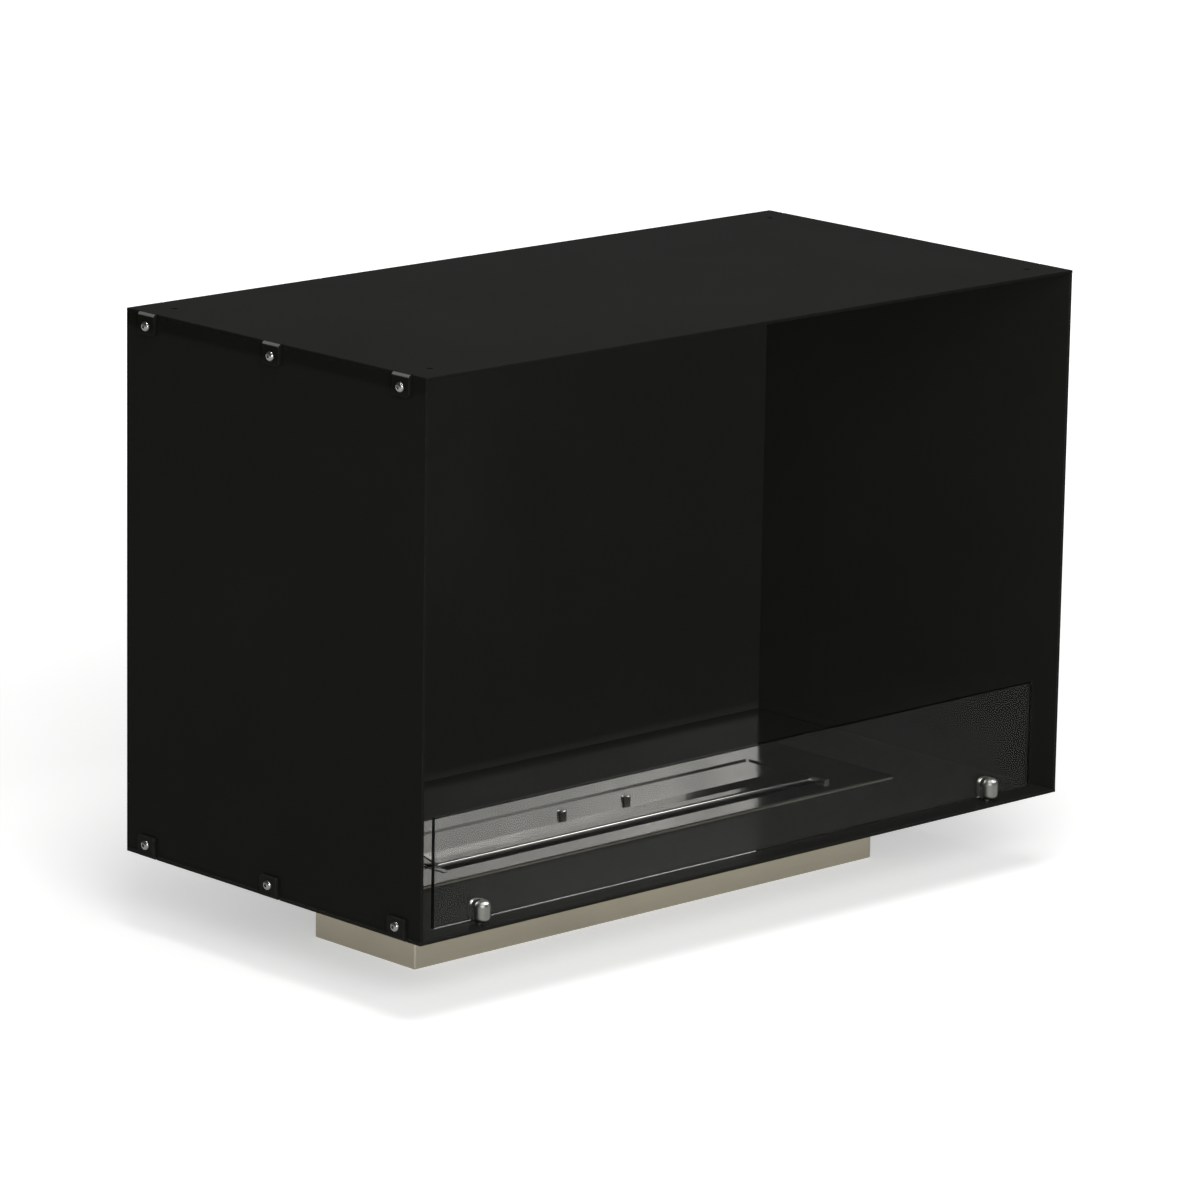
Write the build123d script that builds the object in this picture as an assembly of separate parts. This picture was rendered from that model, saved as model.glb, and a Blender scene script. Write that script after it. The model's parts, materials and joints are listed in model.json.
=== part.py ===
from build123d import *
import math
import os

# Built-in bioethanol fireplace: an open-fronted box of folded sheet steel, a slotted burner hung
# through a cut-out in its floor, and a low glass screen that stands in two clamps.
# Millimetres. X runs to the right, Y to the back, Z up. The origin is at the middle of the
# footprint, on the underside of the burner tank.

# ---- casing -----------------------------------------------------------------------------------
casing_width = 800.0
casing_depth = 400.0
casing_height = 500.0
casing_sheet = 3.0
panel_gap = 0.2            # left between panels that are screwed together
edge_break = 0.5           # radius on the bare front edges of the sheets

tab_width = 22.0
tab_length = 20.0          # from the outer face of the panel to the end of the tab
bend_radius = 0.5          # inside radius of the fold
relief_width = 1.5
relief_depth = 3.0
tab_corner = 2.0
corner_inset = 30.0        # outermost tabs and the ceiling holes, from the casing's corners
side_tab_count = 3
rear_tab_count = 5
screw_inset = 12.0         # screw axis from the outer face of the folded panel
ceiling_hole_diameter = 6.0

# ---- screws -----------------------------------------------------------------------------------
thread_gap = 0.05          # radial, between a thread and its tapped hole
clearance_gap = 0.25       # radial, between a screw and a plain hole
casing_thread = 5.0
casing_head_diameter = 9.5
casing_head_height = 2.75
casing_key = 3.0
tapped_depth = 2.4         # blind tapped holes in the outer faces of the walls
tip_gap = 0.3              # between the end of a screw and the bottom of its blind hole
clamp_thread = 4.0
clamp_head_diameter = 7.5  # countersunk at 90 degrees
countersink_rim = 0.3      # straight rim of a countersunk head or nut
clamp_key = 2.5
clamp_key_depth = 1.5
rail_thread = 3.0
rail_head_diameter = 5.7
rail_head_height = 1.65
rail_key = 2.0
socket_share = 0.58        # depth of the hexagon socket, as a share of the head's height
crown_share = 0.4          # flat top of a button head, as a share of its diameter
dome_share = (0.83, 0.62)  # a point on the dome, as shares of the head's radius and height

# ---- glass screen and its clamps --------------------------------------------------------------
glass_width = 750.0
glass_height = 100.0
glass_thickness = 4.0
glass_setback = 11.0       # front plane of the casing to the front of the glass
glass_lift = 5.2           # air gap between the floor and the glass
glass_gap = 0.1
glass_edge = 0.2           # ground chamfer
clamp_spacing = 640.0
jaw_radius = 8.2
clamp_height = 19.6
clamp_shoulder = 5.5
clamp_foot_round = 4.5
clamp_boss_diameter = 7.0
clamp_boss_height = 2.2
liner_thickness = 0.5
liner_length = 13.0
liner_height = 9.0
clamp_engagement = 3.0     # thread of the clamp screw inside the clamp

# ---- burner -----------------------------------------------------------------------------------
tank_drop = 73.0           # underside of the casing to the underside of the tank
tank_length = 578.0
tank_depth = 136.0
tank_sheet = 1.5
tank_round = 2.0           # upright corners
tank_foot_round = 1.8      # edges of the underside
cutout_gap = 1.0
flange_end = 20.0          # flange beyond the tank, left and right
flange_front = 7.0         # flange beyond the tank, in front and behind
flange_back = 17.5
flange_corner = 3.0
plate_sheet = 1.5
plate_edge = 0.5           # radius round the top of the plate
slot_length = 470.0
slot_width = 12.0
slot_front = 38.0          # rear edge of the flame slot, in front of the burner's middle
slot_lip = 8.0
stud_spacing = 100.0
stud_diameter = 4.0
stud_recess = 0.3          # end of a stud, above the underside of the casing
nut_diameter = 9.0
nut_height = 2.4
nut_slot_width = 1.2
nut_slot_depth = 0.8
board_thickness = 10.0
board_gap = 1.0
tray_sheet = 1.0
tray_gap = 3.5
tray_height = 55.0
tray_round = 3.0
wool_gap = 0.5
wool_height = 34.0
grid_thickness = 1.0
grid_hole_diameter = 7.0
grid_pitch = 16.0
grid_rows = 5
stack_gap = 0.1

# ---- shutter ----------------------------------------------------------------------------------
shutter_length = 478.0
shutter_depth = 88.5
shutter_sheet = 1.25
shutter_gap = 0.15
hem_nose = 3.0             # radius of the fold along the front edge
hem_flat = 8.0             # depth of the nearly level strip behind the nose, and its rise
hem_flat_rise = 0.8
hem_slope = 11.0           # depth of the sloping strip behind it, and its rise
hem_slope_rise = 2.9
hem_inset = 5.0            # sheet left bare beside each end of the hem
rim_height = 1.5           # turned-up rim along the back and the ends, above the sheet
rim_corner = 3.0           # gap that the rims leave at each rear corner
end_rim_length = 35.0
shutter_overlap = 1.0      # shutter behind the slot when open, and in front of it when shut
knob_spacing = 81.0
knob_offset = 5.5          # the pair sits to the right of the middle
knob_diameter = 9.0
knob_height = 6.0
knob_stem_diameter = 4.0
knob_chamfer = 0.8
knob_place = 53.0          # behind the front edge of the shutter
rail_gap = 0.4
rail_width = 4.0
rail_height = 3.4
rail_lip = 1.6
rail_lip_thickness = 0.6
rail_stop = 3.0
guide_height = 0.6         # plain strip at the left end of the shutter
rail_behind = 35.0         # rail behind the open shutter's front edge
rail_screw_inset = 12.0
rail_engagement = 2.4

# ---- places worked out from the sizes ---------------------------------------------------------
tab_outside = panel_gap + casing_sheet
casing_screw_length = tab_outside + tapped_depth - tip_gap
overall_depth = casing_depth + tab_outside + casing_head_height
front_y = -overall_depth / 2
rear_y = front_y + casing_depth
side_x = casing_width / 2
underside_z = tank_drop
floor_z = underside_z + casing_sheet
roof_z = underside_z + casing_height
wall_height = casing_height - 2 * (casing_sheet + panel_gap)
wall_depth = casing_depth - casing_sheet - panel_gap
wall_z = floor_z + panel_gap
burner_y = front_y + casing_depth / 2
flange_length = tank_length + 2 * flange_end
flange_depth = tank_depth + flange_front + flange_back
flange_y = burner_y + (flange_back - flange_front) / 2
flange_z = floor_z
plate_z = flange_z + tank_sheet
plate_top_z = plate_z + plate_sheet
slot_y = burner_y - slot_front - slot_width / 2
slot_rear_y = slot_y + slot_width / 2
shutter_front_y = slot_rear_y + shutter_overlap
shutter_travel = slot_width + 2 * shutter_overlap
shutter_z = plate_top_z + shutter_gap
knob_y = shutter_front_y + knob_place
knobs_x = (knob_offset - knob_spacing / 2, knob_offset + knob_spacing / 2)
glass_y = front_y + glass_setback + glass_thickness / 2
glass_z = floor_z + glass_lift
clamp_slot = glass_thickness + 2 * (glass_gap + liner_thickness)
clamp_slot_z = glass_z - glass_gap - liner_thickness
clamp_body_z = floor_z + clamp_boss_height
clamp_screw_length = casing_sheet + clamp_engagement
board_z = tank_sheet + stack_gap
tray_z = board_z + board_thickness + stack_gap
wool_z = tray_z + tray_sheet + stack_gap
grid_z = wool_z + wool_height + stack_gap
tray_length = tank_length - 2 * (tank_sheet + tray_gap)
tray_depth = tank_depth - 2 * (tank_sheet + tray_gap)
rail_front_y = shutter_front_y - shutter_travel - shutter_gap - rail_stop
rail_length = shutter_front_y + rail_behind - rail_front_y
rail_y = rail_front_y + rail_length / 2
rail_x = shutter_length / 2 + rail_gap + rail_width / 2


def block(length, depth, height, x=0.0, y=0.0, z=0.0):
    """A box centred on x and y that stands on z."""
    return Pos(x, y, z) * Box(length, depth, height, align=(Align.CENTER, Align.CENTER, Align.MIN))


def rod(diameter, length, x=0.0, y=0.0, z=0.0):
    """A round bar along Z that stands on z."""
    bar = Cylinder(diameter / 2, length, align=(Align.CENTER, Align.CENTER, Align.MIN))
    return Pos(x, y, z) * bar


def hole(diameter, length, place):
    """A cutter along the Z axis of a place, reaching length both ways."""
    return place * Cylinder(diameter / 2, 2 * length)


def spread(count, span):
    """Evenly spaced places across a span, centred on zero."""
    return [span * (i / (count - 1) - 0.5) for i in range(count)]


def rounded_plate(length, depth, height, corner, x=0.0, y=0.0, z=0.0):
    """A plate with rounded plan corners that stands on z."""
    plate = block(length, depth, height)
    plate = fillet(plate.edges().filter_by(Axis.Z), corner)
    return Pos(x, y, z) * plate


def facing(x, y, z, towards):
    """A place whose Z axis points left, right, back, up or down."""
    turns = {
        "left": Rot(0, -90, 0),
        "right": Rot(0, 90, 0),
        "back": Rot(-90, 0, 0),
        "up": Rot(0, 0, 0),
        "down": Rot(180, 0, 0),
    }
    return Pos(x, y, z) * turns[towards]


def button_screw(thread, head_diameter, head_height, key, length):
    """A button-head screw with a hexagon socket. Its head stands on the XY plane."""
    crown = crown_share * head_diameter / 2
    middle = (dome_share[0] * head_diameter / 2, dome_share[1] * head_height)
    with BuildPart() as screw:
        with BuildSketch(Plane.XZ):
            with BuildLine():
                Polyline((0, -length), (thread / 2, -length), (thread / 2, 0), (head_diameter / 2, 0))
                ThreePointArc((head_diameter / 2, 0), middle, (crown, head_height))
                Polyline((crown, head_height), (0, head_height), (0, -length))
            make_face()
        revolve(axis=Axis.Z)
    depth = socket_share * head_height
    socket = extrude(RegularPolygon(key / math.sqrt(3), 6), amount=depth + 1)
    return screw.part - Pos(0, 0, head_height - depth) * socket


def casing_screw():
    """The screw that holds a tab of the casing."""
    return button_screw(
        casing_thread, casing_head_diameter, casing_head_height, casing_key, casing_screw_length
    )


def countersunk_form(thread, head_diameter, length):
    """A countersunk screw without its socket, or the hole for one. Its head ends on the XY plane."""
    cone_end = -countersink_rim - (head_diameter - thread) / 2
    with BuildPart() as form:
        with BuildSketch(Plane.XZ):
            Polygon(
                (0, 0),
                (head_diameter / 2, 0),
                (head_diameter / 2, -countersink_rim),
                (thread / 2, cone_end),
                (thread / 2, -length),
                (0, -length),
                align=None,
            )
        revolve(axis=Axis.Z)
    return form.part


# Tabs of a folded panel: where each one leaves its edge, and which way it faces.
side_tabs_y = [casing_depth / 2 + y for y in spread(side_tab_count, casing_depth - 2 * corner_inset)]
rear_tabs_x = spread(rear_tab_count, casing_width - 2 * corner_inset)
tab_places = [Pos(side_x, y, 0) for y in side_tabs_y]
tab_places += [Pos(-side_x, y, 0) * Rot(0, 0, 180) for y in side_tabs_y]
tab_places += [Pos(x, casing_depth, 0) * Rot(0, 0, 90) for x in rear_tabs_x]


def folded_tab():
    """One tab, folded down over an edge that lies on the YZ plane, with its screw hole."""
    outside = tab_outside
    with BuildPart() as tab:
        with BuildSketch(Plane.XZ):
            Polygon(
                (-relief_depth, 0),
                (outside, 0),
                (outside, -tab_length),
                (panel_gap, -tab_length),
                (panel_gap, -casing_sheet),
                (-relief_depth, -casing_sheet),
                align=None,
            )
        extrude(amount=tab_width / 2, both=True)
        along_y = tab.edges().filter_by(Axis.Y)
        outer_edge = along_y.sort_by(Axis.X)[-2:].sort_by(Axis.Z)[-1]
        fillet(outer_edge, bend_radius + casing_sheet)
        inner_edge = tab.edges().filter_by(Axis.Y).sort_by_distance((panel_gap, 0, -casing_sheet))[0]
        fillet(inner_edge, bend_radius)
        tips = tab.edges().filter_by(Axis.X).filter_by_position(Axis.Z, -tab_length, -tab_length + 0.01)
        fillet(tips, tab_corner)
    screw_hole = facing(outside, 0, -screw_inset, "right")
    return tab.part - hole(casing_thread + 2 * clearance_gap, 2 * casing_sheet, screw_hole)


def folded_panel():
    """The ceiling or floor sheet, front edge on Y=0, outer face on Z=0, tabs folded down."""
    panel = Pos(0, casing_depth / 2, -casing_sheet) * block(casing_width, casing_depth, casing_sheet)
    front = panel.edges().filter_by(Axis.X).filter_by_position(Axis.Y, -0.01, 0.01)
    panel = fillet(front, edge_break)
    notch = block(2 * relief_depth, tab_width + 2 * relief_width, 3 * casing_sheet, z=-2 * casing_sheet)
    panel -= [place * notch for place in tab_places]
    tab = folded_tab()
    panel += [place * tab for place in tab_places]
    return panel


def side_panel(side):
    """A side wall: side is -1 for the left one and 1 for the right one."""
    middle_x = side * (side_x - casing_sheet / 2)
    wall = block(casing_sheet, wall_depth, wall_height, middle_x, front_y + wall_depth / 2, wall_z)
    front = wall.edges().filter_by(Axis.Z).filter_by_position(Axis.Y, front_y - 0.01, front_y + 0.01)
    wall = fillet(front, edge_break)
    for y in side_tabs_y:
        for z in (underside_z + screw_inset, roof_z - screw_inset):
            place = facing(side * side_x, front_y + y, z, "right")
            wall -= hole(casing_thread + 2 * thread_gap, tapped_depth, place)
    return wall


def back_panel():
    """The rear wall, between the ceiling and the floor and behind the side walls."""
    middle_y = rear_y - casing_sheet / 2
    wall = block(casing_width, casing_sheet, wall_height, 0, middle_y, wall_z)
    for x in rear_tabs_x:
        for z in (underside_z + screw_inset, roof_z - screw_inset):
            place = facing(x, rear_y, z, "back")
            wall -= hole(casing_thread + 2 * thread_gap, tapped_depth, place)
    return wall


clamp_places = [(x, glass_y) for x in (-clamp_spacing / 2, clamp_spacing / 2)]
stud_x = (tank_length + flange_end) / 2
stud_places = [
    (x, burner_y + y)
    for x in (-stud_x, stud_x)
    for y in (-stud_spacing / 2, stud_spacing / 2)
]


def top_panel():
    """The ceiling sheet with its four corner holes."""
    panel = Pos(0, front_y, roof_z) * folded_panel()
    for x in (-side_x + corner_inset, side_x - corner_inset):
        for y in (front_y + corner_inset, rear_y - corner_inset):
            panel -= hole(ceiling_hole_diameter, 2 * casing_sheet, Pos(x, y, roof_z))
    return panel


def bottom_panel():
    """The floor sheet: tabs folded up, a cut-out for the tank, holes for clamps and studs."""
    panel = Pos(0, front_y, underside_z) * mirror(folded_panel(), about=Plane.XY)
    cutout = block(
        tank_length + 2 * cutout_gap, tank_depth + 2 * cutout_gap, 3 * casing_sheet,
        0, burner_y, underside_z - casing_sheet,
    )
    panel -= cutout
    screw_hole = countersunk_form(
        clamp_thread + 2 * clearance_gap, clamp_head_diameter + 2 * clearance_gap, 2 * casing_sheet
    )
    for x, y in clamp_places:
        panel -= facing(x, y, underside_z, "down") * screw_hole
    nut_hole = countersunk_form(
        stud_diameter + 2 * clearance_gap, nut_diameter + 2 * thread_gap, 2 * casing_sheet
    )
    for x, y in stud_places:
        panel -= facing(x, y, underside_z, "down") * nut_hole
    return panel


def side_tab_screws(side):
    """The six screws through the tabs on one side."""
    towards = "right" if side > 0 else "left"
    x = side * (side_x + tab_outside)
    return [
        facing(x, front_y + y, z, towards) * casing_screw()
        for y in side_tabs_y
        for z in (underside_z + screw_inset, roof_z - screw_inset)
    ]


def rear_tab_screws():
    """The screws through the tabs behind the back panel."""
    return [
        facing(x, rear_y + tab_outside, z, "back") * casing_screw()
        for x in rear_tabs_x
        for z in (underside_z + screw_inset, roof_z - screw_inset)
    ]


def glass_screen():
    """The clear screen, with ground edges all round both faces."""
    pane = block(glass_width, glass_thickness, glass_height, 0, glass_y, glass_z)
    faces = pane.faces().filter_by(Axis.Y)
    rims = faces[0].edges() + faces[1].edges()
    return chamfer(rims, glass_edge)


def glass_clamp(x, y):
    """Two half-round jaws joined below the glass, on a boss that stands on the floor."""
    plan = SlotCenterToCenter(clamp_slot, 2 * jaw_radius, rotation=90)
    body = extrude(plan, amount=clamp_height)
    body = fillet(body.faces().sort_by(Axis.Z)[-1].edges(), clamp_shoulder)
    body = fillet(body.faces().sort_by(Axis.Z)[0].edges(), clamp_foot_round)
    body += rod(clamp_boss_diameter, clamp_boss_height, z=-clamp_boss_height)
    slot_floor = clamp_slot_z - clamp_body_z
    body -= block(3 * jaw_radius, clamp_slot, clamp_height, z=slot_floor)
    tapped = clamp_engagement + tip_gap
    body -= rod(clamp_thread + 2 * thread_gap, tapped, z=-clamp_boss_height)
    return Pos(x, y, clamp_body_z) * body


def clamp_liner(x, y):
    """A soft channel that keeps the glass off the metal of its clamp."""
    channel = block(liner_length, clamp_slot, liner_height)
    inner_width = glass_thickness + 2 * glass_gap
    channel -= block(2 * liner_length, inner_width, liner_height, z=liner_thickness)
    return Pos(x, y, clamp_slot_z) * channel


def clamp_screw(x, y):
    """The countersunk screw that pulls a clamp down on the floor, flush with the underside."""
    screw = countersunk_form(clamp_thread, clamp_head_diameter, clamp_screw_length)
    socket = extrude(RegularPolygon(clamp_key / math.sqrt(3), 6), amount=2 * clamp_key_depth)
    screw -= Pos(0, 0, -clamp_key_depth) * socket
    return facing(x, y, underside_z, "down") * screw


def burner_tank():
    """The outer tank that hangs below the casing, and the flange that carries it."""
    shell = block(tank_length, tank_depth, flange_z, 0, burner_y, 0)
    shell = fillet(shell.edges().filter_by(Axis.Z), tank_round)
    shell = fillet(shell.faces().sort_by(Axis.Z)[0].edges(), tank_foot_round)
    shell += rounded_plate(flange_length, flange_depth, tank_sheet, flange_corner, 0, flange_y, flange_z)
    inside_length = tank_length - 2 * tank_sheet
    inside_depth = tank_depth - 2 * tank_sheet
    hollow = block(inside_length, inside_depth, plate_z, 0, burner_y, tank_sheet)
    shell -= hollow
    for x, y in stud_places:
        shell -= hole(stud_diameter + 2 * clearance_gap, 2 * tank_sheet, Pos(x, y, flange_z))
    return shell


def burner_top_plate():
    """The plate that covers the tank, with the flame slot and its turned-down lips."""
    plate = rounded_plate(flange_length, flange_depth, plate_sheet, flange_corner, 0, flange_y, plate_z)
    plate = fillet(plate.faces().sort_by(Axis.Z)[-1].edges(), plate_edge)
    lip_length = slot_length + 2 * plate_sheet
    lip_width = slot_width + 2 * plate_sheet
    plate += block(lip_length, lip_width, slot_lip + plate_sheet / 2, 0, slot_y, plate_z - slot_lip)
    plate -= block(slot_length, slot_width, 4 * slot_lip, 0, slot_y, plate_z - 2 * slot_lip)
    for y in rail_screw_places():
        plate -= hole(rail_thread + 2 * clearance_gap, 2 * plate_sheet, Pos(rail_x, y, plate_z))
    return plate


def rail_screw_places():
    """The two screw positions along the right shutter rail."""
    return (rail_front_y + rail_screw_inset, rail_front_y + rail_length - rail_screw_inset)


def left_rail():
    """A plain low strip, welded on, that guides the left end of the shutter."""
    return block(rail_width, rail_length, guide_height, -rail_x, rail_y, plate_top_z)


def right_rail():
    """A guide bar whose lip keeps the shutter down and whose stop ends its travel."""
    bar = block(rail_width, rail_length, rail_height)
    lip_z = rail_height - rail_lip_thickness
    lip_x = -(rail_width + rail_lip) / 2
    bar += block(rail_lip, rail_length, rail_lip_thickness, lip_x, 0, lip_z)
    stop_y = -(rail_length - rail_stop) / 2
    bar += block(rail_lip, rail_stop, rail_height, lip_x, stop_y, 0)
    bar = Pos(rail_x, rail_y, plate_top_z) * bar
    for y in rail_screw_places():
        bar -= hole(rail_thread + 2 * thread_gap, rail_engagement + tip_gap, Pos(rail_x, y, plate_top_z))
    return bar


def rail_screws():
    """The screws that hold the right rail, driven up from inside the tank."""
    length = plate_sheet + rail_engagement
    screw = button_screw(rail_thread, rail_head_diameter, rail_head_height, rail_key, length)
    return [facing(rail_x, y, plate_z, "down") * screw for y in rail_screw_places()]


def burner_stud(x, y):
    """A stud welded under the top plate, down through the flange and the floor."""
    foot_z = underside_z + stud_recess
    return rod(stud_diameter, plate_z - foot_z, x, y, foot_z)


def burner_nut(x, y):
    """A slotted countersunk nut that draws the burner down, flush with the underside."""
    small_end = nut_diameter - 2 * (nut_height - countersink_rim)
    body = countersunk_form(small_end, nut_diameter, nut_height)
    body -= hole(stud_diameter + 2 * thread_gap, 2 * nut_height, Pos(0, 0, 0))
    body -= block(2 * nut_diameter, nut_slot_width, nut_height, z=-nut_slot_depth)
    return facing(x, y, underside_z, "down") * body


def tank_insulation_board():
    """The board under the fuel tray that keeps the tank's underside cool."""
    inside_length = tank_length - 2 * tank_sheet
    inside_depth = tank_depth - 2 * tank_sheet
    length = inside_length - 2 * board_gap
    depth = inside_depth - 2 * board_gap
    return block(length, depth, board_thickness, 0, burner_y, board_z)


def fuel_tray():
    """The open tray that holds the fuel and the wool."""
    tray = rounded_plate(tray_length, tray_depth, tray_height, tray_round, 0, burner_y, tray_z)
    hollow = rounded_plate(
        tray_length - 2 * tray_sheet, tray_depth - 2 * tray_sheet, tray_height,
        tray_round - tray_sheet, 0, burner_y, tray_z + tray_sheet,
    )
    return tray - hollow


def tray_fill(height, z):
    """A block that fills the tray from wall to wall."""
    shrink = 2 * (tray_sheet + wool_gap)
    return rounded_plate(
        tray_length - shrink, tray_depth - shrink, height,
        tray_round - tray_sheet, 0, burner_y, z,
    )


def wool_grid():
    """The perforated sheet that holds the wool down."""
    sheet = tray_fill(grid_thickness, grid_z)
    columns = int((tray_length - 2 * grid_pitch) / grid_pitch)
    perforations = [
        Pos(x, burner_y + y, grid_z) * Cylinder(grid_hole_diameter / 2, 3 * grid_thickness)
        for x in spread(columns, (columns - 1) * grid_pitch)
        for y in spread(grid_rows, (grid_rows - 1) * grid_pitch)
    ]
    return sheet - perforations


def hem_section():
    """The folded front of the shutter from its end: Y from the front edge, Z from the underside."""
    nose = (hem_nose, hem_nose)
    flat = (nose[0] + hem_flat, nose[1] + hem_flat_rise)
    slope = (flat[0] + hem_slope, flat[1] + hem_slope_rise)
    on_arc = hem_nose * math.sqrt(0.5)
    with BuildSketch(Plane.YZ) as section:
        with BuildLine():
            ThreePointArc((0, 0), (hem_nose - on_arc, on_arc), nose)
            Polyline(
                nose,
                flat,
                slope,
                (slope[0], slope[1] - shutter_sheet),
                (flat[0], flat[1] - shutter_sheet),
                (nose[0], nose[1] - shutter_sheet),
                (shutter_sheet, shutter_sheet),
                (slope[0], shutter_sheet),
                (slope[0], 0),
                (0, 0),
            )
        make_face()
    return section.sketch


def slot_shutter():
    """The sliding sheet behind the flame slot: an open hem in front, low rims behind and at the ends."""
    hem = extrude(hem_section(), amount=shutter_length / 2 - hem_inset, both=True)
    sheet = Pos(0, shutter_front_y, shutter_z) * hem
    back_y = shutter_front_y + shutter_depth
    behind_nose = shutter_depth - hem_nose
    sheet += block(shutter_length, behind_nose, shutter_sheet, 0, back_y - behind_nose / 2, shutter_z)
    rim = shutter_sheet + rim_height
    rear_rim_length = shutter_length - 2 * rim_corner
    sheet += block(rear_rim_length, shutter_sheet, rim, 0, back_y - shutter_sheet / 2, shutter_z)
    middle_y = back_y - shutter_depth / 2
    end_rim_y = back_y - rim_corner - end_rim_length / 2
    for side in (-1, 1):
        end_x = side * (shutter_length - hem_inset) / 2
        sheet += block(hem_inset, shutter_depth, shutter_sheet, end_x, middle_y, shutter_z)
        rim_x = side * (shutter_length - shutter_sheet) / 2
        sheet += block(shutter_sheet, end_rim_length, rim, rim_x, end_rim_y, shutter_z)
    for x in knobs_x:
        sheet -= hole(knob_stem_diameter + 2 * thread_gap, 2 * shutter_sheet, Pos(x, knob_y, shutter_z))
    return sheet


def shutter_knob(x):
    """A round knob riveted into the shutter."""
    head = rod(knob_diameter, knob_height)
    head = chamfer(head.faces().sort_by(Axis.Z)[-1].edges(), knob_chamfer)
    head += rod(knob_stem_diameter, shutter_sheet, z=-shutter_sheet)
    return Pos(x, knob_y, shutter_z + shutter_sheet) * head


left_clamp, right_clamp = clamp_places

nodes = {
    "top_panel": [top_panel()],
    "bottom_panel": [bottom_panel()],
    "left_side_panel": [side_panel(-1)],
    "right_side_panel": [side_panel(1)],
    "back_panel": [back_panel()],
    "left_tab_screws": side_tab_screws(-1),
    "right_tab_screws": side_tab_screws(1),
    "rear_tab_screws": rear_tab_screws(),
    "glass_screen": [glass_screen()],
    "left_glass_clamp": [glass_clamp(*left_clamp)],
    "right_glass_clamp": [glass_clamp(*right_clamp)],
    "left_clamp_liner": [clamp_liner(*left_clamp)],
    "right_clamp_liner": [clamp_liner(*right_clamp)],
    "clamp_screws": [clamp_screw(*place) for place in clamp_places],
    "burner_tank": [burner_tank()],
    "burner_top_plate": [burner_top_plate()],
    "burner_studs": [burner_stud(*place) for place in stud_places],
    "burner_nuts": [burner_nut(*place) for place in stud_places],
    "tank_insulation_board": [tank_insulation_board()],
    "fuel_tray": [fuel_tray()],
    "ceramic_wool": [tray_fill(wool_height, wool_z)],
    "wool_grid": [wool_grid()],
    "slot_shutter": [slot_shutter()],
    "shutter_knobs": [shutter_knob(x) for x in knobs_x],
    "left_shutter_rail": [left_rail()],
    "right_shutter_rail": [right_rail()],
    "rail_screws": rail_screws(),
}

os.makedirs("parts", exist_ok=True)
for name, pieces in nodes.items():
    solids = [solid for piece in pieces for solid in piece.solids()]
    shape = solids[0] if len(solids) == 1 else Compound(children=solids)
    export_step(shape, f"parts/{name}.step")
    print(name, len(solids), "solids")

print("overall", casing_width + 2 * (tab_outside + casing_head_height), overall_depth, roof_z)
print("shutter travel", shutter_travel)
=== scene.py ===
import json
import math

import bpy
from mathutils import Euler, Matrix, Vector


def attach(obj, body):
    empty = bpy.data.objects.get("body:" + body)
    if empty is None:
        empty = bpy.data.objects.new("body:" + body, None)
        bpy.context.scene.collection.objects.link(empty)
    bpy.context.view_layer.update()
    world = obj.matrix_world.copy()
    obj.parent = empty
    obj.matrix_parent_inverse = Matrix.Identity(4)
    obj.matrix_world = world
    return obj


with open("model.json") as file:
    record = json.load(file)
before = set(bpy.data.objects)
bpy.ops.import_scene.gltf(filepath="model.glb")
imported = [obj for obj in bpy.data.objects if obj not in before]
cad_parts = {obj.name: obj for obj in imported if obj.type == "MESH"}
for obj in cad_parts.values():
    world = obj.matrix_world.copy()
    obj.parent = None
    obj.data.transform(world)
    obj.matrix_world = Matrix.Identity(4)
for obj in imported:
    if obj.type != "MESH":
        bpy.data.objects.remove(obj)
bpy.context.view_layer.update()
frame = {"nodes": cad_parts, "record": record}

nodes = frame["nodes"]
scene = bpy.context.scene
print("frame loaded:", len(nodes), "parts")


# ---------- small helpers for node trees

def addNode(tree, kind, settings=None, sockets=None):
    made = tree.nodes.new(kind)
    for name, value in (settings or {}).items():
        setattr(made, name, value)
    for name, value in (sockets or {}).items():
        made.inputs[name].default_value = value
    return made


def join(tree, source, target):
    tree.links.new(source, target)


def mixColor(tree, factor, first, second):
    # first and second are colours or sockets; a mix node's colours are inputs 6 and 7 and output 2
    made = addNode(tree, "ShaderNodeMix", {"data_type": "RGBA"})
    join(tree, factor, made.inputs["Factor"])
    for socket, value in ((made.inputs[6], first), (made.inputs[7], second)):
        if isinstance(value, bpy.types.NodeSocket):
            join(tree, value, socket)
        else:
            socket.default_value = (*value, 1)
    return made.outputs[2]


def remap(tree, value, low, high, start=0.0, end=1.0):
    made = addNode(tree, "ShaderNodeMapRange", {}, {
        "From Min": start, "From Max": end, "To Min": low, "To Max": high,
    })
    join(tree, value, made.inputs["Value"])
    return made.outputs["Result"]


def multiply(tree, first, second):
    made = addNode(tree, "ShaderNodeMath", {"operation": "MULTIPLY"})
    for socket, value in zip(made.inputs, (first, second)):
        if isinstance(value, bpy.types.NodeSocket):
            join(tree, value, socket)
        else:
            socket.default_value = value
    return made.outputs["Value"]


def absolute(tree, value):
    made = addNode(tree, "ShaderNodeMath", {"operation": "ABSOLUTE"})
    join(tree, value, made.inputs[0])
    return made.outputs["Value"]


def split(tree, vector):
    made = addNode(tree, "ShaderNodeSeparateXYZ")
    join(tree, vector, made.inputs["Vector"])
    return made.outputs


def newGroup(name, inputs, outputs):
    tree = bpy.data.node_groups.new(name, "ShaderNodeTree")
    for label, kind, value in inputs:
        socket = tree.interface.new_socket(name=label, in_out="INPUT", socket_type=kind)
        socket.default_value = value
    for label, kind in outputs:
        tree.interface.new_socket(name=label, in_out="OUTPUT", socket_type=kind)
    return tree, addNode(tree, "NodeGroupInput"), addNode(tree, "NodeGroupOutput")


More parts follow.
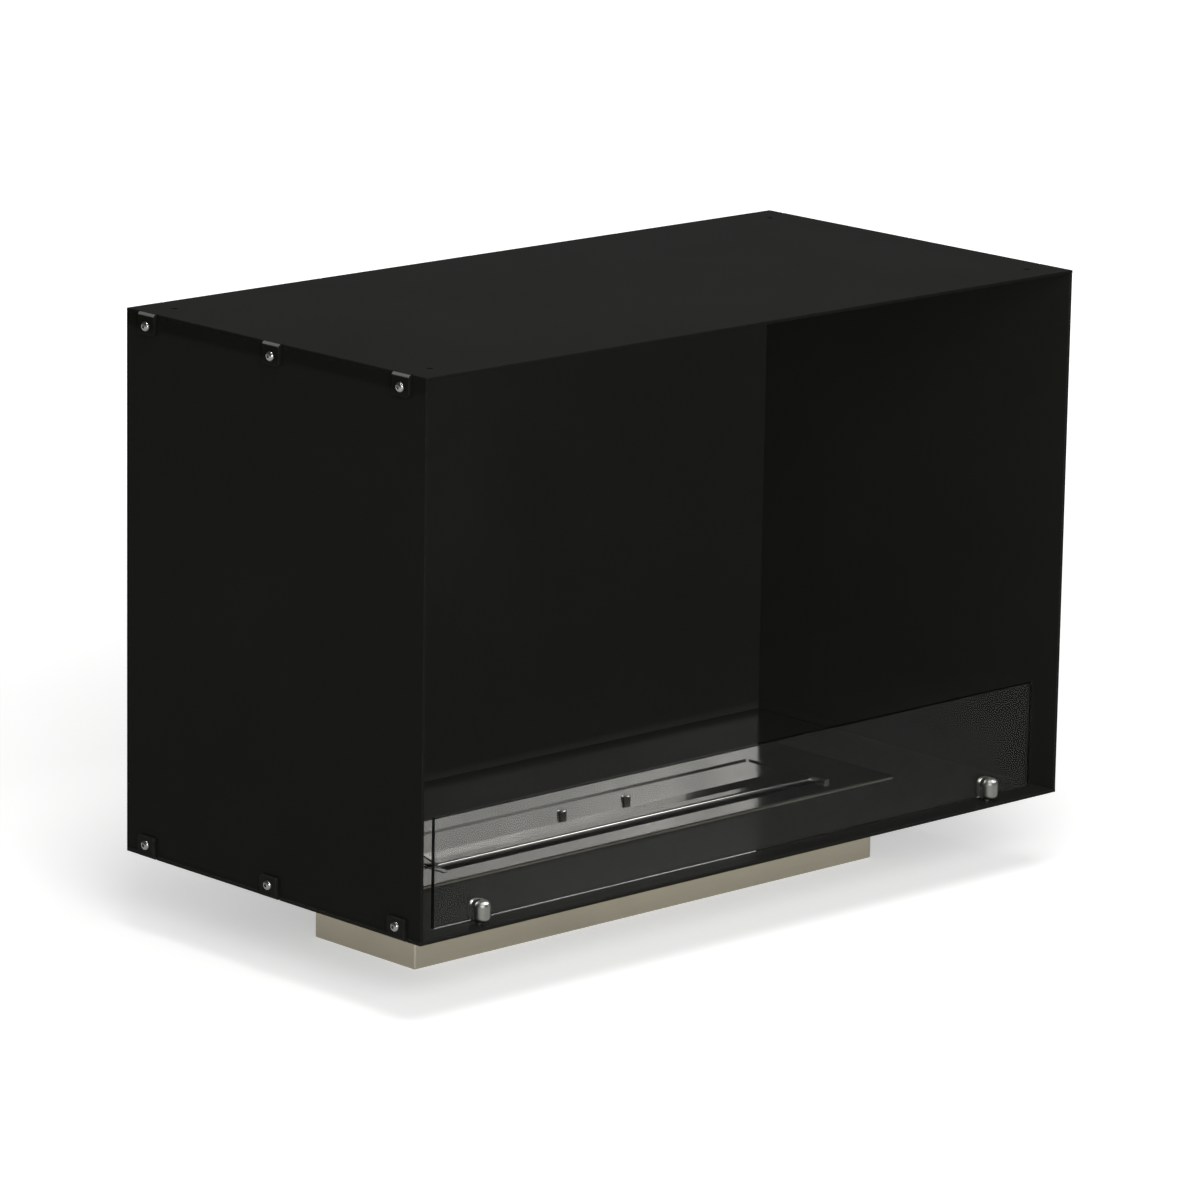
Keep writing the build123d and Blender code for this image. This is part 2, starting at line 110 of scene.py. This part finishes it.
def placeGroup(tree, group, values=None):
    made = tree.nodes.new("ShaderNodeGroup")
    made.node_tree = group
    for name, value in (values or {}).items():
        made.inputs[name].default_value = value
    return made


# ---------- effects that several finishes share

def makeGrainGroup():
    # fine even grain, as of powder coat or cast surfaces, with a slower unevenness
    tree, given, result = newGroup(
        "fineGrain",
        [("Grain per metre", "NodeSocketFloat", 900.0), ("Patches per metre", "NodeSocketFloat", 12.0)],
        [("Grain", "NodeSocketFloat"), ("Patches", "NodeSocketFloat")],
    )
    place = addNode(tree, "ShaderNodeTexCoord")
    grain = addNode(tree, "ShaderNodeTexNoise", {}, {"Detail": 2.0, "Roughness": 0.55})
    patches = addNode(tree, "ShaderNodeTexNoise", {}, {"Detail": 3.0, "Roughness": 0.6})
    for noise, label in ((grain, "Grain"), (patches, "Patches")):
        join(tree, place.outputs["Object"], noise.inputs["Vector"])
        join(tree, given.outputs[label + " per metre"], noise.inputs["Scale"])
        join(tree, noise.outputs["Fac"], result.inputs[label])
    return tree


def makeBrushGroup():
    # long straight brushing: noise drawn out along one axis
    tree, given, result = newGroup(
        "brushLines",
        [
            ("Stretch", "NodeSocketVector", (1.0, 60.0, 60.0)),
            ("Lines per metre", "NodeSocketFloat", 40.0),
        ],
        [("Lines", "NodeSocketFloat")],
    )
    place = addNode(tree, "ShaderNodeTexCoord")
    drawn = addNode(tree, "ShaderNodeVectorMath", {"operation": "MULTIPLY"})
    noise = addNode(tree, "ShaderNodeTexNoise", {}, {"Detail": 5.0, "Roughness": 0.7})
    join(tree, place.outputs["Object"], drawn.inputs[0])
    join(tree, given.outputs["Stretch"], drawn.inputs[1])
    join(tree, drawn.outputs["Vector"], noise.inputs["Vector"])
    join(tree, given.outputs["Lines per metre"], noise.inputs["Scale"])
    join(tree, noise.outputs["Fac"], result.inputs["Lines"])
    return tree


def makeEdgeGroup():
    # where the surface turns over an edge, broken up as handling wears it, and a softened normal
    settings = {
        "samples": 4, "turn": (0.8, 0.995), "noise": {"Detail": 4.0, "Roughness": 0.65},
        "broken": (0.42, 0.66),
    }
    tree, given, result = newGroup(
        "edgeRub",
        [
            ("Radius", "NodeSocketFloat", 0.0006),
            ("Breakup per metre", "NodeSocketFloat", 160.0),
            ("Amount", "NodeSocketFloat", 1.0),
        ],
        [("Rub", "NodeSocketFloat"), ("Normal", "NodeSocketVector")],
    )
    soft = addNode(tree, "ShaderNodeBevel", {"samples": settings["samples"]})
    flat = addNode(tree, "ShaderNodeNewGeometry")
    turn = addNode(tree, "ShaderNodeVectorMath", {"operation": "DOT_PRODUCT"})
    place = addNode(tree, "ShaderNodeTexCoord")
    noise = addNode(tree, "ShaderNodeTexNoise", {}, settings["noise"])
    join(tree, given.outputs["Radius"], soft.inputs["Radius"])
    join(tree, soft.outputs["Normal"], turn.inputs[0])
    join(tree, flat.outputs["Normal"], turn.inputs[1])
    join(tree, place.outputs["Object"], noise.inputs["Vector"])
    join(tree, given.outputs["Breakup per metre"], noise.inputs["Scale"])
    edge = remap(tree, turn.outputs["Value"], 1.0, 0.0, *settings["turn"])
    broken = remap(tree, noise.outputs["Fac"], 0.0, 1.0, *settings["broken"])
    rub = multiply(tree, multiply(tree, edge, broken), given.outputs["Amount"])
    join(tree, rub, result.inputs["Rub"])
    join(tree, soft.outputs["Normal"], result.inputs["Normal"])
    return tree


def makeDustGroup():
    # a thin film that settles on what faces up, and faint wipe marks everywhere
    settings = {
        "specks": {"Detail": 3.0, "Roughness": 0.7}, "cloud": {"Scale": 7.0, "Detail": 3.0},
        "wipes": {"Scale": 5.0, "Detail": 4.0, "Distortion": 1.6},
        "up": (0.3, 0.95), "settled": (0.35, 0.75), "leastSettled": 0.2, "wiped": (0.35, 0.7),
    }
    tree, given, result = newGroup(
        "dustFilm",
        [("Dust", "NodeSocketFloat", 0.2), ("Specks per metre", "NodeSocketFloat", 450.0)],
        [("Film", "NodeSocketFloat"), ("Wipes", "NodeSocketFloat")],
    )
    facing = split(tree, addNode(tree, "ShaderNodeNewGeometry").outputs["Normal"])
    place = addNode(tree, "ShaderNodeTexCoord")
    specks, cloud, wipes = (
        addNode(tree, "ShaderNodeTexNoise", {}, settings[kind]) for kind in ("specks", "cloud", "wipes")
    )
    for noise in (specks, cloud, wipes):
        join(tree, place.outputs["Object"], noise.inputs["Vector"])
    join(tree, given.outputs["Specks per metre"], specks.inputs["Scale"])
    up = remap(tree, facing["Z"], 0.0, 1.0, *settings["up"])
    specked = remap(tree, specks.outputs["Fac"], settings["leastSettled"], 1.0, *settings["settled"])
    film = multiply(tree, multiply(tree, specked, up), cloud.outputs["Fac"])
    join(tree, multiply(tree, film, given.outputs["Dust"]), result.inputs["Film"])
    join(tree, remap(tree, wipes.outputs["Fac"], 0.0, 1.0, *settings["wiped"]), result.inputs["Wipes"])
    return tree


grainGroup = makeGrainGroup()
brushGroup = makeBrushGroup()
edgeGroup = makeEdgeGroup()
dustGroup = makeDustGroup()
print("shared effects built")


# ---------- finishes

def startMaterial(name, shaderValues):
    material = bpy.data.materials.new(name)
    material.use_nodes = True
    tree = material.node_tree
    shader = tree.nodes["Principled BSDF"]
    for socket, value in shaderValues.items():
        shader.inputs[socket].default_value = value
    return material, tree, shader


def bump(tree, shader, height, distance, strength, normal=None):
    made = addNode(tree, "ShaderNodeBump", {}, {"Strength": strength, "Distance": distance})
    join(tree, height, made.inputs["Height"])
    if normal:
        join(tree, normal, made.inputs["Normal"])
    join(tree, made.outputs["Normal"], shader.inputs["Normal"])


def makePowderCoat():
    settings = {
        "color": (0.0085, 0.0085, 0.0076),
        "deepColor": (0.0066, 0.0066, 0.0059),
        # edge rub colour: part wear, part painted highlight, made lighter so the sheet edges read as
        # catching light
        "rubAndEdgeHighlightColor": (0.04, 0.04, 0.038),
        "paintedBendHighlightColor": (0.11, 0.11, 0.108),      # painted highlight: a lighter colour along the up-facing bends of the upper tabs, standing in for light catching them
        "bendHighlightMask": (0.2, 0.42),
        "dustColor": (0.05, 0.048, 0.044),
        "roughness": (0.17, 0.22),
        "footRoughness": 0.7,       # at the foot of the walls, where dust gathers
        "footStart": (0.0762, 0.0766),      # heights, just above the floor sheet
        "footEnd": (0.0768, 0.0885),
        "specular": 0.009,
        "mattStart": (0.555, 0.56),     # heights of the matt band at the seam below the ceiling sheet
        "mattEnd": (0.5718, 0.5722),
        "grain": {"Grain per metre": 650.0, "Patches per metre": 9.0},
        "grainHeight": 0.00001, "grainStrength": 0.25,
        "edge": {"Radius": 0.0009, "Amount": 0.7},
        "dust": {"Dust": 0.12},
    }
    material, tree, shader = startMaterial("powderCoat", {})
    grain = placeGroup(tree, grainGroup, settings["grain"])
    edge = placeGroup(tree, edgeGroup, settings["edge"])
    dust = placeGroup(tree, dustGroup, settings["dust"])
    coat = mixColor(tree, grain.outputs["Patches"], settings["deepColor"], settings["color"])
    # worn colour and painted highlight along the edges
    rubbedAndHighlighted = mixColor(tree, edge.outputs["Rub"], coat, settings["rubAndEdgeHighlightColor"])
    facing = split(tree, addNode(tree, "ShaderNodeNewGeometry").outputs["True Normal"])
    # painted highlight on the bends of the upper tabs: where the true normal leans both sideways and up
    bend = multiply(tree, absolute(tree, facing["X"]), facing["Z"])
    bendHighlightMask = remap(tree, bend, 0.0, 1.0, *settings["bendHighlightMask"])
    withBendHighlight = mixColor(tree, bendHighlightMask, rubbedAndHighlighted, settings["paintedBendHighlightColor"])
    dusty = mixColor(tree, dust.outputs["Film"], withBendHighlight, settings["dustColor"])
    join(tree, dusty, shader.inputs["Base Color"])

    height = split(tree, addNode(tree, "ShaderNodeTexCoord").outputs["Object"])["Z"]
    wiped = remap(tree, dust.outputs["Wipes"], *settings["roughness"])
    above = remap(tree, height, 0.0, 1.0, *settings["footStart"])
    below = remap(tree, height, settings["footRoughness"], 0.0, *settings["footEnd"])
    foot = multiply(tree, below, above)
    rough = addNode(tree, "ShaderNodeMath", {"operation": "MAXIMUM"})
    join(tree, wiped, rough.inputs[0])
    join(tree, foot, rough.inputs[1])
    join(tree, rough.outputs["Value"], shader.inputs["Roughness"])
    rise = remap(tree, height, 0.0, 1.0, *settings["mattStart"])
    seam = multiply(tree, rise, remap(tree, height, 1.0, 0.0, *settings["mattEnd"]))
    join(tree, remap(tree, seam, settings["specular"], 0.0), shader.inputs["Specular IOR Level"])
    bump(
        tree, shader, grain.outputs["Grain"], settings["grainHeight"], settings["grainStrength"],
        edge.outputs["Normal"],
    )
    return material


def makeSteel(name, settings):
    # stainless steel: brushed, with a colour that drifts a little and brighter edges
    material, tree, shader = startMaterial(name, {"Metallic": 1.0})
    lines = placeGroup(tree, brushGroup, {
        "Stretch": settings["stretch"], "Lines per metre": settings["lines"],
    })
    grain = placeGroup(tree, grainGroup, {"Patches per metre": settings["patches"]})
    edge = placeGroup(tree, edgeGroup, {
        "Radius": settings["edgeRadius"], "Amount": settings["edgeRub"],
    })
    dust = placeGroup(tree, dustGroup, {"Dust": settings["dust"]})
    metal = mixColor(tree, grain.outputs["Patches"], settings["deepColor"], settings["color"])
    worn = mixColor(tree, edge.outputs["Rub"], metal, settings["edgeColor"])
    dusty = mixColor(tree, dust.outputs["Film"], worn, settings["dustColor"])
    join(tree, dusty, shader.inputs["Base Color"])
    brushed = remap(tree, lines.outputs["Lines"], *settings["roughness"], *brushSpan)
    wiped = addNode(tree, "ShaderNodeMath", {"operation": "ADD", "use_clamp": True})
    join(tree, brushed, wiped.inputs[0])
    join(tree, multiply(tree, dust.outputs["Wipes"], settings["wipes"]), wiped.inputs[1])
    join(tree, wiped.outputs["Value"], shader.inputs["Roughness"])
    height, strength = settings["brushHeight"], settings["brushStrength"]
    bump(tree, shader, lines.outputs["Lines"], height, strength, edge.outputs["Normal"])
    return material


brushSpan = (0.3, 0.7)      # the range of the brushing's noise that is used
brushedPlate = {
    "color": (0.62, 0.61, 0.585), "deepColor": (0.57, 0.56, 0.535), "edgeColor": (0.8, 0.79, 0.77),
    "dustColor": (0.35, 0.34, 0.32), "stretch": (1.0, 45.0, 45.0), "lines": 22.0, "patches": 6.0,
    "edgeRadius": 0.0004, "edgeRub": 0.5, "dust": 0.05, "roughness": (0.09, 0.13), "wipes": 0.04,
    "brushHeight": 0.000004, "brushStrength": 0.15,
}
satinTank = {
    "color": (0.44, 0.405, 0.32), "deepColor": (0.4, 0.37, 0.29), "edgeColor": (0.5, 0.46, 0.38),
    "dustColor": (0.3, 0.28, 0.24), "stretch": (1.0, 40.0, 40.0), "lines": 18.0, "patches": 5.0,
    "edgeRadius": 0.0006, "edgeRub": 0.6, "dust": 0.1, "roughness": (0.42, 0.5), "wipes": 0.06,
    "brushHeight": 0.00002, "brushStrength": 0.15,
}
polishedClamp = {
    "color": (0.17, 0.17, 0.158), "deepColor": (0.14, 0.14, 0.13), "edgeColor": (0.26, 0.26, 0.24),
    "dustColor": (0.4, 0.39, 0.37), "stretch": (60.0, 60.0, 4.0), "lines": 30.0, "patches": 60.0,
    "edgeRadius": 0.0003, "edgeRub": 0.3, "dust": 0.06, "roughness": (0.3, 0.36), "wipes": 0.05,
    "brushHeight": 0.000004, "brushStrength": 0.1,
}
screwSteel = {
    "color": (0.22, 0.22, 0.21), "deepColor": (0.17, 0.17, 0.165), "edgeColor": (0.34, 0.34, 0.33),
    "dustColor": (0.3, 0.29, 0.27), "stretch": (30.0, 30.0, 30.0), "lines": 30.0, "patches": 220.0,
    "edgeRadius": 0.0002, "edgeRub": 0.4, "dust": 0.1, "roughness": (0.16, 0.28), "wipes": 0.06,
    "brushHeight": 0.000006, "brushStrength": 0.15,
}
traySteel = {
    **brushedPlate, "color": (0.5, 0.49, 0.47), "roughness": (0.32, 0.46), "stretch": (45.0, 1.0, 45.0),
}
knobSteel = {**polishedClamp, "color": (0.4, 0.4, 0.39), "roughness": (0.16, 0.24)}


def makeGlass():
    # clear through its faces, nearly black through its edges, of which the upright ones are ground
    settings = {
        "color": (0.98, 0.99, 0.985), "edgeColor": (0.004, 0.006, 0.005), "index": 1.1,
        "groundRoughness": 0.6, "turn": (0.85, 0.95), "wipes": 0.06,
    }
    material, tree, shader = startMaterial("screenGlass", {
        "Metallic": 0.0, "Transmission Weight": 1.0, "IOR": settings["index"],
    })
    facing = split(tree, addNode(tree, "ShaderNodeNewGeometry").outputs["True Normal"])
    face = remap(tree, absolute(tree, facing["Y"]), 0.0, 1.0, *settings["turn"])
    level = absolute(tree, facing["Z"])
    ground = remap(tree, level, settings["groundRoughness"], 0.0, *settings["turn"])
    matt = multiply(tree, remap(tree, face, 1.0, 0.0), ground)
    join(tree, matt, shader.inputs["Roughness"])
    dust = placeGroup(tree, dustGroup)
    clear = mixColor(tree, face, settings["edgeColor"], settings["color"])
    wiped = multiply(tree, dust.outputs["Wipes"], settings["wipes"])
    join(tree, mixColor(tree, wiped, clear, settings["edgeColor"]), shader.inputs["Base Color"])
    return material


def makeRubber():
    settings = {
        "color": (0.018, 0.018, 0.018), "paleColor": (0.035, 0.034, 0.033), "specular": 0.3,
        "roughness": (0.6, 0.85), "grain": {"Grain per metre": 2500.0, "Patches per metre": 200.0},
        "grainHeight": 0.00003, "grainStrength": 0.4,
    }
    material, tree, shader = startMaterial("linerRubber", {"Specular IOR Level": settings["specular"]})
    grain = placeGroup(tree, grainGroup, settings["grain"])
    mottled = mixColor(tree, grain.outputs["Patches"], settings["color"], settings["paleColor"])
    join(tree, mottled, shader.inputs["Base Color"])
    join(tree, remap(tree, grain.outputs["Grain"], *settings["roughness"]), shader.inputs["Roughness"])
    bump(tree, shader, grain.outputs["Grain"], settings["grainHeight"], settings["grainStrength"])
    return material


def makeWool(name, settings):
    material, tree, shader = startMaterial(name, {
        "Specular IOR Level": settings["specular"], "Sheen Weight": settings["sheen"],
    })
    grain = placeGroup(tree, grainGroup, {
        "Grain per metre": settings["fibres"], "Patches per metre": settings["patches"],
    })
    matted = mixColor(tree, grain.outputs["Grain"], settings["deepColor"], settings["color"])
    join(tree, matted, shader.inputs["Base Color"])
    rough = remap(tree, grain.outputs["Patches"], *settings["roughness"])
    join(tree, rough, shader.inputs["Roughness"])
    bump(tree, shader, grain.outputs["Grain"], settings["height"], settings["strength"])
    return material


whiteWool = {
    "color": (0.86, 0.85, 0.81), "deepColor": (0.6, 0.58, 0.53), "specular": 0.15, "sheen": 0.2,
    "roughness": (0.8, 0.98), "fibres": 420.0, "patches": 60.0, "height": 0.0008, "strength": 0.7,
}
mineralBoard = {
    **whiteWool, "color": (0.66, 0.6, 0.48), "deepColor": (0.48, 0.43, 0.34),
    "fibres": 900.0, "patches": 30.0, "height": 0.0003,
}

finishes = {
    "powder_coat": makePowderCoat(),
    "plate_steel": makeSteel("plateSteel", brushedPlate),
    "tank_steel": makeSteel("tankSteel", satinTank),
    "tray_steel": makeSteel("traySteel", traySteel),
    "polished_steel": makeSteel("polishedSteel", polishedClamp),
    "knob_steel": makeSteel("knobSteel", knobSteel),
    "screw_steel": makeSteel("screwSteel", screwSteel),
    "screen_glass": makeGlass(),
    "liner_rubber": makeRubber(),
    "white_wool": makeWool("ceramicWool", whiteWool),
    "board": makeWool("mineralBoard", mineralBoard),
}
print("finishes built:", len(finishes))


def dressNodes():
    for part in frame["record"]["subparts"]:
        mesh = nodes[part["node"]].data
        mesh.materials.clear()
        mesh.materials.append(finishes[part["material_slot"]])


dressNodes()
print("parts dressed")


# ---------- loose fibres on the ceramic wool

fibreTilt = (0.2, 0.06)     # most tilt of a fibre, in radians, along and across
fibreSteps = 4
fibreSides = 3


def makeFibreTree():
    # short bent fibres strewn over the faces of a carrier, lying nearly flat
    tree = bpy.data.node_groups.new("strewnFibres", "GeometryNodeTree")
    inputs = [
        ("Carrier", "NodeSocketGeometry"), ("Fibres per square metre", "NodeSocketFloat"),
        ("Length", "NodeSocketFloat"), ("Bend", "NodeSocketFloat"), ("Radius", "NodeSocketFloat"),
        ("Seed", "NodeSocketInt"), ("Material", "NodeSocketMaterial"),
    ]
    for label, kind in inputs:
        tree.interface.new_socket(name=label, in_out="INPUT", socket_type=kind)
    tree.interface.new_socket(name="Fibres", in_out="OUTPUT", socket_type="NodeSocketGeometry")
    given, result = addNode(tree, "NodeGroupInput"), addNode(tree, "NodeGroupOutput")
    strewn = addNode(tree, "GeometryNodeDistributePointsOnFaces", {"distribute_method": "RANDOM"})
    join(tree, given.outputs["Carrier"], strewn.inputs["Mesh"])
    join(tree, given.outputs["Fibres per square metre"], strewn.inputs["Density"])
    join(tree, given.outputs["Seed"], strewn.inputs["Seed"])
    start, middle, end = (addNode(tree, "ShaderNodeCombineXYZ") for place in range(3))
    join(tree, given.outputs["Bend"], middle.inputs["Y"])
    join(tree, given.outputs["Length"], end.inputs["X"])
    join(tree, multiply(tree, given.outputs["Length"], 0.5), middle.inputs["X"])
    line = addNode(tree, "GeometryNodeCurveQuadraticBezier", {}, {"Resolution": fibreSteps})
    for label, corner in (("Start", start), ("Middle", middle), ("End", end)):
        join(tree, corner.outputs["Vector"], line.inputs[label])
    ring = addNode(tree, "GeometryNodeCurvePrimitiveCircle", {}, {"Resolution": fibreSides})
    join(tree, given.outputs["Radius"], ring.inputs["Radius"])
    fibre = addNode(tree, "GeometryNodeCurveToMesh", {}, {"Fill Caps": True})
    join(tree, line.outputs["Curve"], fibre.inputs["Curve"])
    join(tree, ring.outputs["Curve"], fibre.inputs["Profile Curve"])
    turn = addNode(tree, "FunctionNodeRandomValue", {"data_type": "FLOAT_VECTOR"}, {
        "Min": (-fibreTilt[0], -fibreTilt[1], 0.0), "Max": (*fibreTilt, math.tau),
    })
    join(tree, given.outputs["Seed"], turn.inputs["Seed"])
    placed = addNode(tree, "GeometryNodeInstanceOnPoints")
    join(tree, strewn.outputs["Points"], placed.inputs["Points"])
    join(tree, fibre.outputs["Mesh"], placed.inputs["Instance"])
    join(tree, turn.outputs["Value"], placed.inputs["Rotation"])
    solid = addNode(tree, "GeometryNodeRealizeInstances")
    finish = addNode(tree, "GeometryNodeSetMaterial")
    join(tree, placed.outputs["Instances"], solid.inputs["Geometry"])
    join(tree, solid.outputs["Geometry"], finish.inputs["Geometry"])
    join(tree, given.outputs["Material"], finish.inputs["Material"])
    join(tree, finish.outputs["Geometry"], result.inputs["Fibres"])
    return tree


def makeWoolFibres():
    settings = {
        "Fibres per square metre": 60000.0, "Length": 0.009, "Bend": 0.0025, "Radius": 0.00018,
        "Seed": 11, "Material": finishes["white_wool"],
    }
    inset = 0.01        # strip left bare along the edges of the wool
    wool = nodes["ceramic_wool"]
    corners = [wool.matrix_world @ Vector(corner) for corner in wool.bound_box]
    across, along, upward = zip(*corners)
    left, right = min(across) + inset, max(across) - inset
    near, far = min(along) + inset, max(along) - inset
    mesh = bpy.data.meshes.new("woolTop")
    outline = [(left, near), (right, near), (right, far), (left, far)]
    mesh.from_pydata([(x, y, max(upward)) for x, y in outline], [], [(0, 1, 2, 3)])
    carrier = bpy.data.objects.new("woolTop", mesh)
    scene.collection.objects.link(carrier)
    modifier = carrier.modifiers.new("fibres", "NODES")
    modifier.node_group = makeFibreTree()
    for item in modifier.node_group.interface.items_tree:
        if item.in_out == "INPUT" and item.name in settings:
            modifier[item.identifier] = settings[item.name]
    evaluated = carrier.evaluated_get(bpy.context.evaluated_depsgraph_get())
    fibres = bpy.data.objects.new("wool_fibres", bpy.data.meshes.new_from_object(evaluated))
    scene.collection.objects.link(fibres)
    carrier.modifiers.remove(modifier)
    bpy.data.objects.remove(carrier)
    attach(fibres, "casing")
    print("wool fibres:", len(fibres.data.polygons), "faces")


makeWoolFibres()


# ---------- the room: floor, light, camera

def makeFloor():
    # pale, and lifted to white where it is seen, less so near the part, which keeps its shadow
    settings = {
        "size": 60.0, "color": (0.86, 0.86, 0.85), "roughness": 0.9, "specular": 0.1, "drop": 0.0004,
        "lift": (0.45, 1.0), "distance": (0.7, 2.4),
    }
    half = settings["size"] / 2
    corners = [(-half, -half), (half, -half), (half, half), (-half, half)]
    mesh = bpy.data.meshes.new("floor")
    mesh.from_pydata([(x, y, -settings["drop"]) for x, y in corners], [], [(0, 1, 2, 3)])
    floor = bpy.data.objects.new("floor", mesh)
    scene.collection.objects.link(floor)
    material, tree, shader = startMaterial("paleFloor", {
        "Base Color": (*settings["color"], 1), "Roughness": settings["roughness"],
        "Specular IOR Level": settings["specular"], "Emission Color": (1, 1, 1, 1),
    })
    rays = addNode(tree, "ShaderNodeLightPath")
    seen = rays.outputs["Is Camera Ray"]
    for kind in ("Is Glossy Ray", "Is Transmission Ray"):
        either = addNode(tree, "ShaderNodeMath", {"operation": "ADD", "use_clamp": True})
        join(tree, seen, either.inputs[0])
        join(tree, rays.outputs[kind], either.inputs[1])
        seen = either.outputs["Value"]
    place = addNode(tree, "ShaderNodeTexCoord")
    away = addNode(tree, "ShaderNodeVectorMath", {"operation": "LENGTH"})
    join(tree, place.outputs["Object"], away.inputs[0])
    lift = remap(tree, away.outputs["Value"], *settings["lift"], *settings["distance"])
    join(tree, multiply(tree, seen, lift), shader.inputs["Emission Strength"])
    mesh.materials.append(material)


def gather(name, state, parts):
    # a collection for light linking: only these parts (INCLUDE), or all but them (EXCLUDE)
    collection = bpy.data.collections.new(name)
    for part in nodes.values():
        if part.name in parts:
            collection.objects.link(part)
    for entry in collection.collection_objects:
        entry.light_linking.link_state = state
    return collection


def addLamp(name, settings):
    lamp = bpy.data.lights.new(name, "AREA")
    lamp.shape = "RECTANGLE"
    lamp.size, lamp.size_y = settings["size"]
    lamp.energy = settings["energy"]
    lamp.color = settings["color"]
    lamp.cycles.use_multiple_importance_sampling = settings.get("mirrored", False)
    holder = bpy.data.objects.new(name, lamp)
    target = Vector(settings["target"])
    towards = Vector(settings["direction"]).normalized()
    holder.location = target + towards * settings["distance"]
    holder.rotation_euler = towards.to_track_quat("Z", "Y").to_euler()
    scene.collection.objects.link(holder)
    holder.light_linking.receiver_collection = gather(name + "Lights", *settings["lights"])
    holder.light_linking.blocker_collection = gather(name + "StoppedBy", *settings["stoppedBy"])
    holder.visible_diffuse = settings.get("diffuse", True)
    holder.visible_glossy = settings.get("glossy", True)


shinyParts = ("left_glass_clamp", "right_glass_clamp", "shutter_knobs")
# parts that mirror the back wall, and the wall itself
mirrorParts = ("back_panel", "burner_top_plate", "slot_shutter", "shutter_knobs", "left_shutter_rail")
lamps = {
    # far and low: the back wall mirrors it up into the floor sheet, the burner and the glass edge
    "wallWash": {
        "size": (3.2, 3.0), "energy": 5700.0, "color": (1.0, 0.995, 0.98),
        "direction": (0.669, -0.705, 0.233), "distance": 20.0, "target": (0.0, 0.197, 0.32),
        "lights": ("INCLUDE", ("back_panel",)), "stoppedBy": ("INCLUDE", ("back_panel",)),
    },
    # tall and behind it, seen in the gloss only: the sloping hem mirrors the wall more steeply
    "wallGloss": {
        "size": (4.5, 11.0), "energy": 30000.0, "color": (1.0, 0.995, 0.98),
        "direction": (0.669, -0.623, 0.405), "distance": 20.0, "target": (0.0, 0.197, 0.32),
        "lights": ("INCLUDE", ("back_panel",)), "stoppedBy": ("INCLUDE", ("back_panel",)),
        "diffuse": False,
    },
    "front": {
        "size": (3.0, 3.0), "energy": 228.0, "color": (1.0, 1.0, 1.0),
        "direction": (-0.5, -0.8, 0.35), "distance": 5.0, "target": (0.0, 0.0, 0.3),
        "lights": ("EXCLUDE", mirrorParts), "stoppedBy": ("EXCLUDE", ("glass_screen",)),
    },
    # low from the right: the line along the shutter's nose
    "side": {
        "size": (1.0, 0.8), "energy": 9.0, "color": (1.0, 1.0, 1.0),
        "direction": (0.669, -0.435, 0.603), "distance": 4.0, "target": (0.0, 0.0, 0.1),
        "lights": ("INCLUDE", ("slot_shutter",)), "stoppedBy": ("EXCLUDE", ("glass_screen",)),
        "mirrored": True,
    },
    # wide and high from the right: the shoulders of clamps and knobs
    "shoulders": {
        "size": (3.6, 3.0), "energy": 340.0, "color": (1.0, 1.0, 1.0),
        "direction": (0.55, -0.3, 0.78), "distance": 4.0, "target": (0.0, -0.19, 0.09),
        "lights": ("INCLUDE", shinyParts), "stoppedBy": ("INCLUDE", shinyParts),
    },
    # from behind and above: the rear jaws of the clamps, the left sides of the knobs
    "rim": {
        "size": (2.6, 1.8), "energy": 300.0, "color": (1.0, 1.0, 1.0),
        "direction": (-0.2, 0.82, 0.54), "distance": 4.0, "target": (0.0, -0.19, 0.09),
        "lights": ("INCLUDE", shinyParts), "stoppedBy": ("INCLUDE", shinyParts),
    },
    # from above the left front: the right wall and the floor sheet inside the casing
    "firebox": {
        "size": (1.5, 1.5), "energy": 115.0, "color": (1.0, 1.0, 1.0),
        "direction": (-0.55, -0.45, 0.7), "distance": 4.0, "target": (0.2, 0.0, 0.2),
        "lights": ("INCLUDE", ("right_side_panel", "bottom_panel")),
        "stoppedBy": ("INCLUDE", ("right_side_panel", "bottom_panel")), "glossy": False,
    },
    "overhead": {
        "size": (1.6, 1.6), "energy": 50.0, "color": (1.0, 1.0, 1.0),
        "direction": (-0.1, -0.25, 1.0), "distance": 3.0, "target": (0.0, 0.0, 0.3),
        "lights": ("EXCLUDE", ("back_panel",)), "stoppedBy": ("EXCLUDE", ("glass_screen",)),
    },
}


def lightRoom():
    settings = {"color": (1.0, 1.0, 1.0), "strength": 0.15}
    world = bpy.data.worlds.new("studio")
    world.use_nodes = True
    back = world.node_tree.nodes["Background"]
    back.inputs["Color"].default_value = (*settings["color"], 1)
    back.inputs["Strength"].default_value = settings["strength"]
    scene.world = world
    for name, lamp in lamps.items():
        addLamp(name, lamp)


def placeCamera():
    # angles in degrees, lens and sensor in millimetres
    settings = {
        "place": (-4.0387, -4.2801, 1.6911), "heading": 43.3185, "tilt": 13.466, "roll": 0.9612,
        "lens": 197.945, "sensor": 36.0, "clip": (0.1, 100.0),
    }
    lens = bpy.data.cameras.new("camera")
    lens.sensor_width = settings["sensor"]
    lens.lens = settings["lens"]
    lens.clip_start, lens.clip_end = settings["clip"]
    camera = bpy.data.objects.new("camera", lens)
    upright = math.radians(90 - settings["tilt"])
    turn = Euler((upright, 0, -math.radians(settings["heading"]))).to_matrix()
    turn = turn @ Matrix.Rotation(math.radians(settings["roll"]), 3, "Z")
    camera.matrix_world = Matrix.Translation(settings["place"]) @ turn.to_4x4()
    scene.collection.objects.link(camera)
    scene.camera = camera


makeFloor()
lightRoom()
placeCamera()
scene.view_settings.view_transform = "Standard"
print("room lit, camera placed")
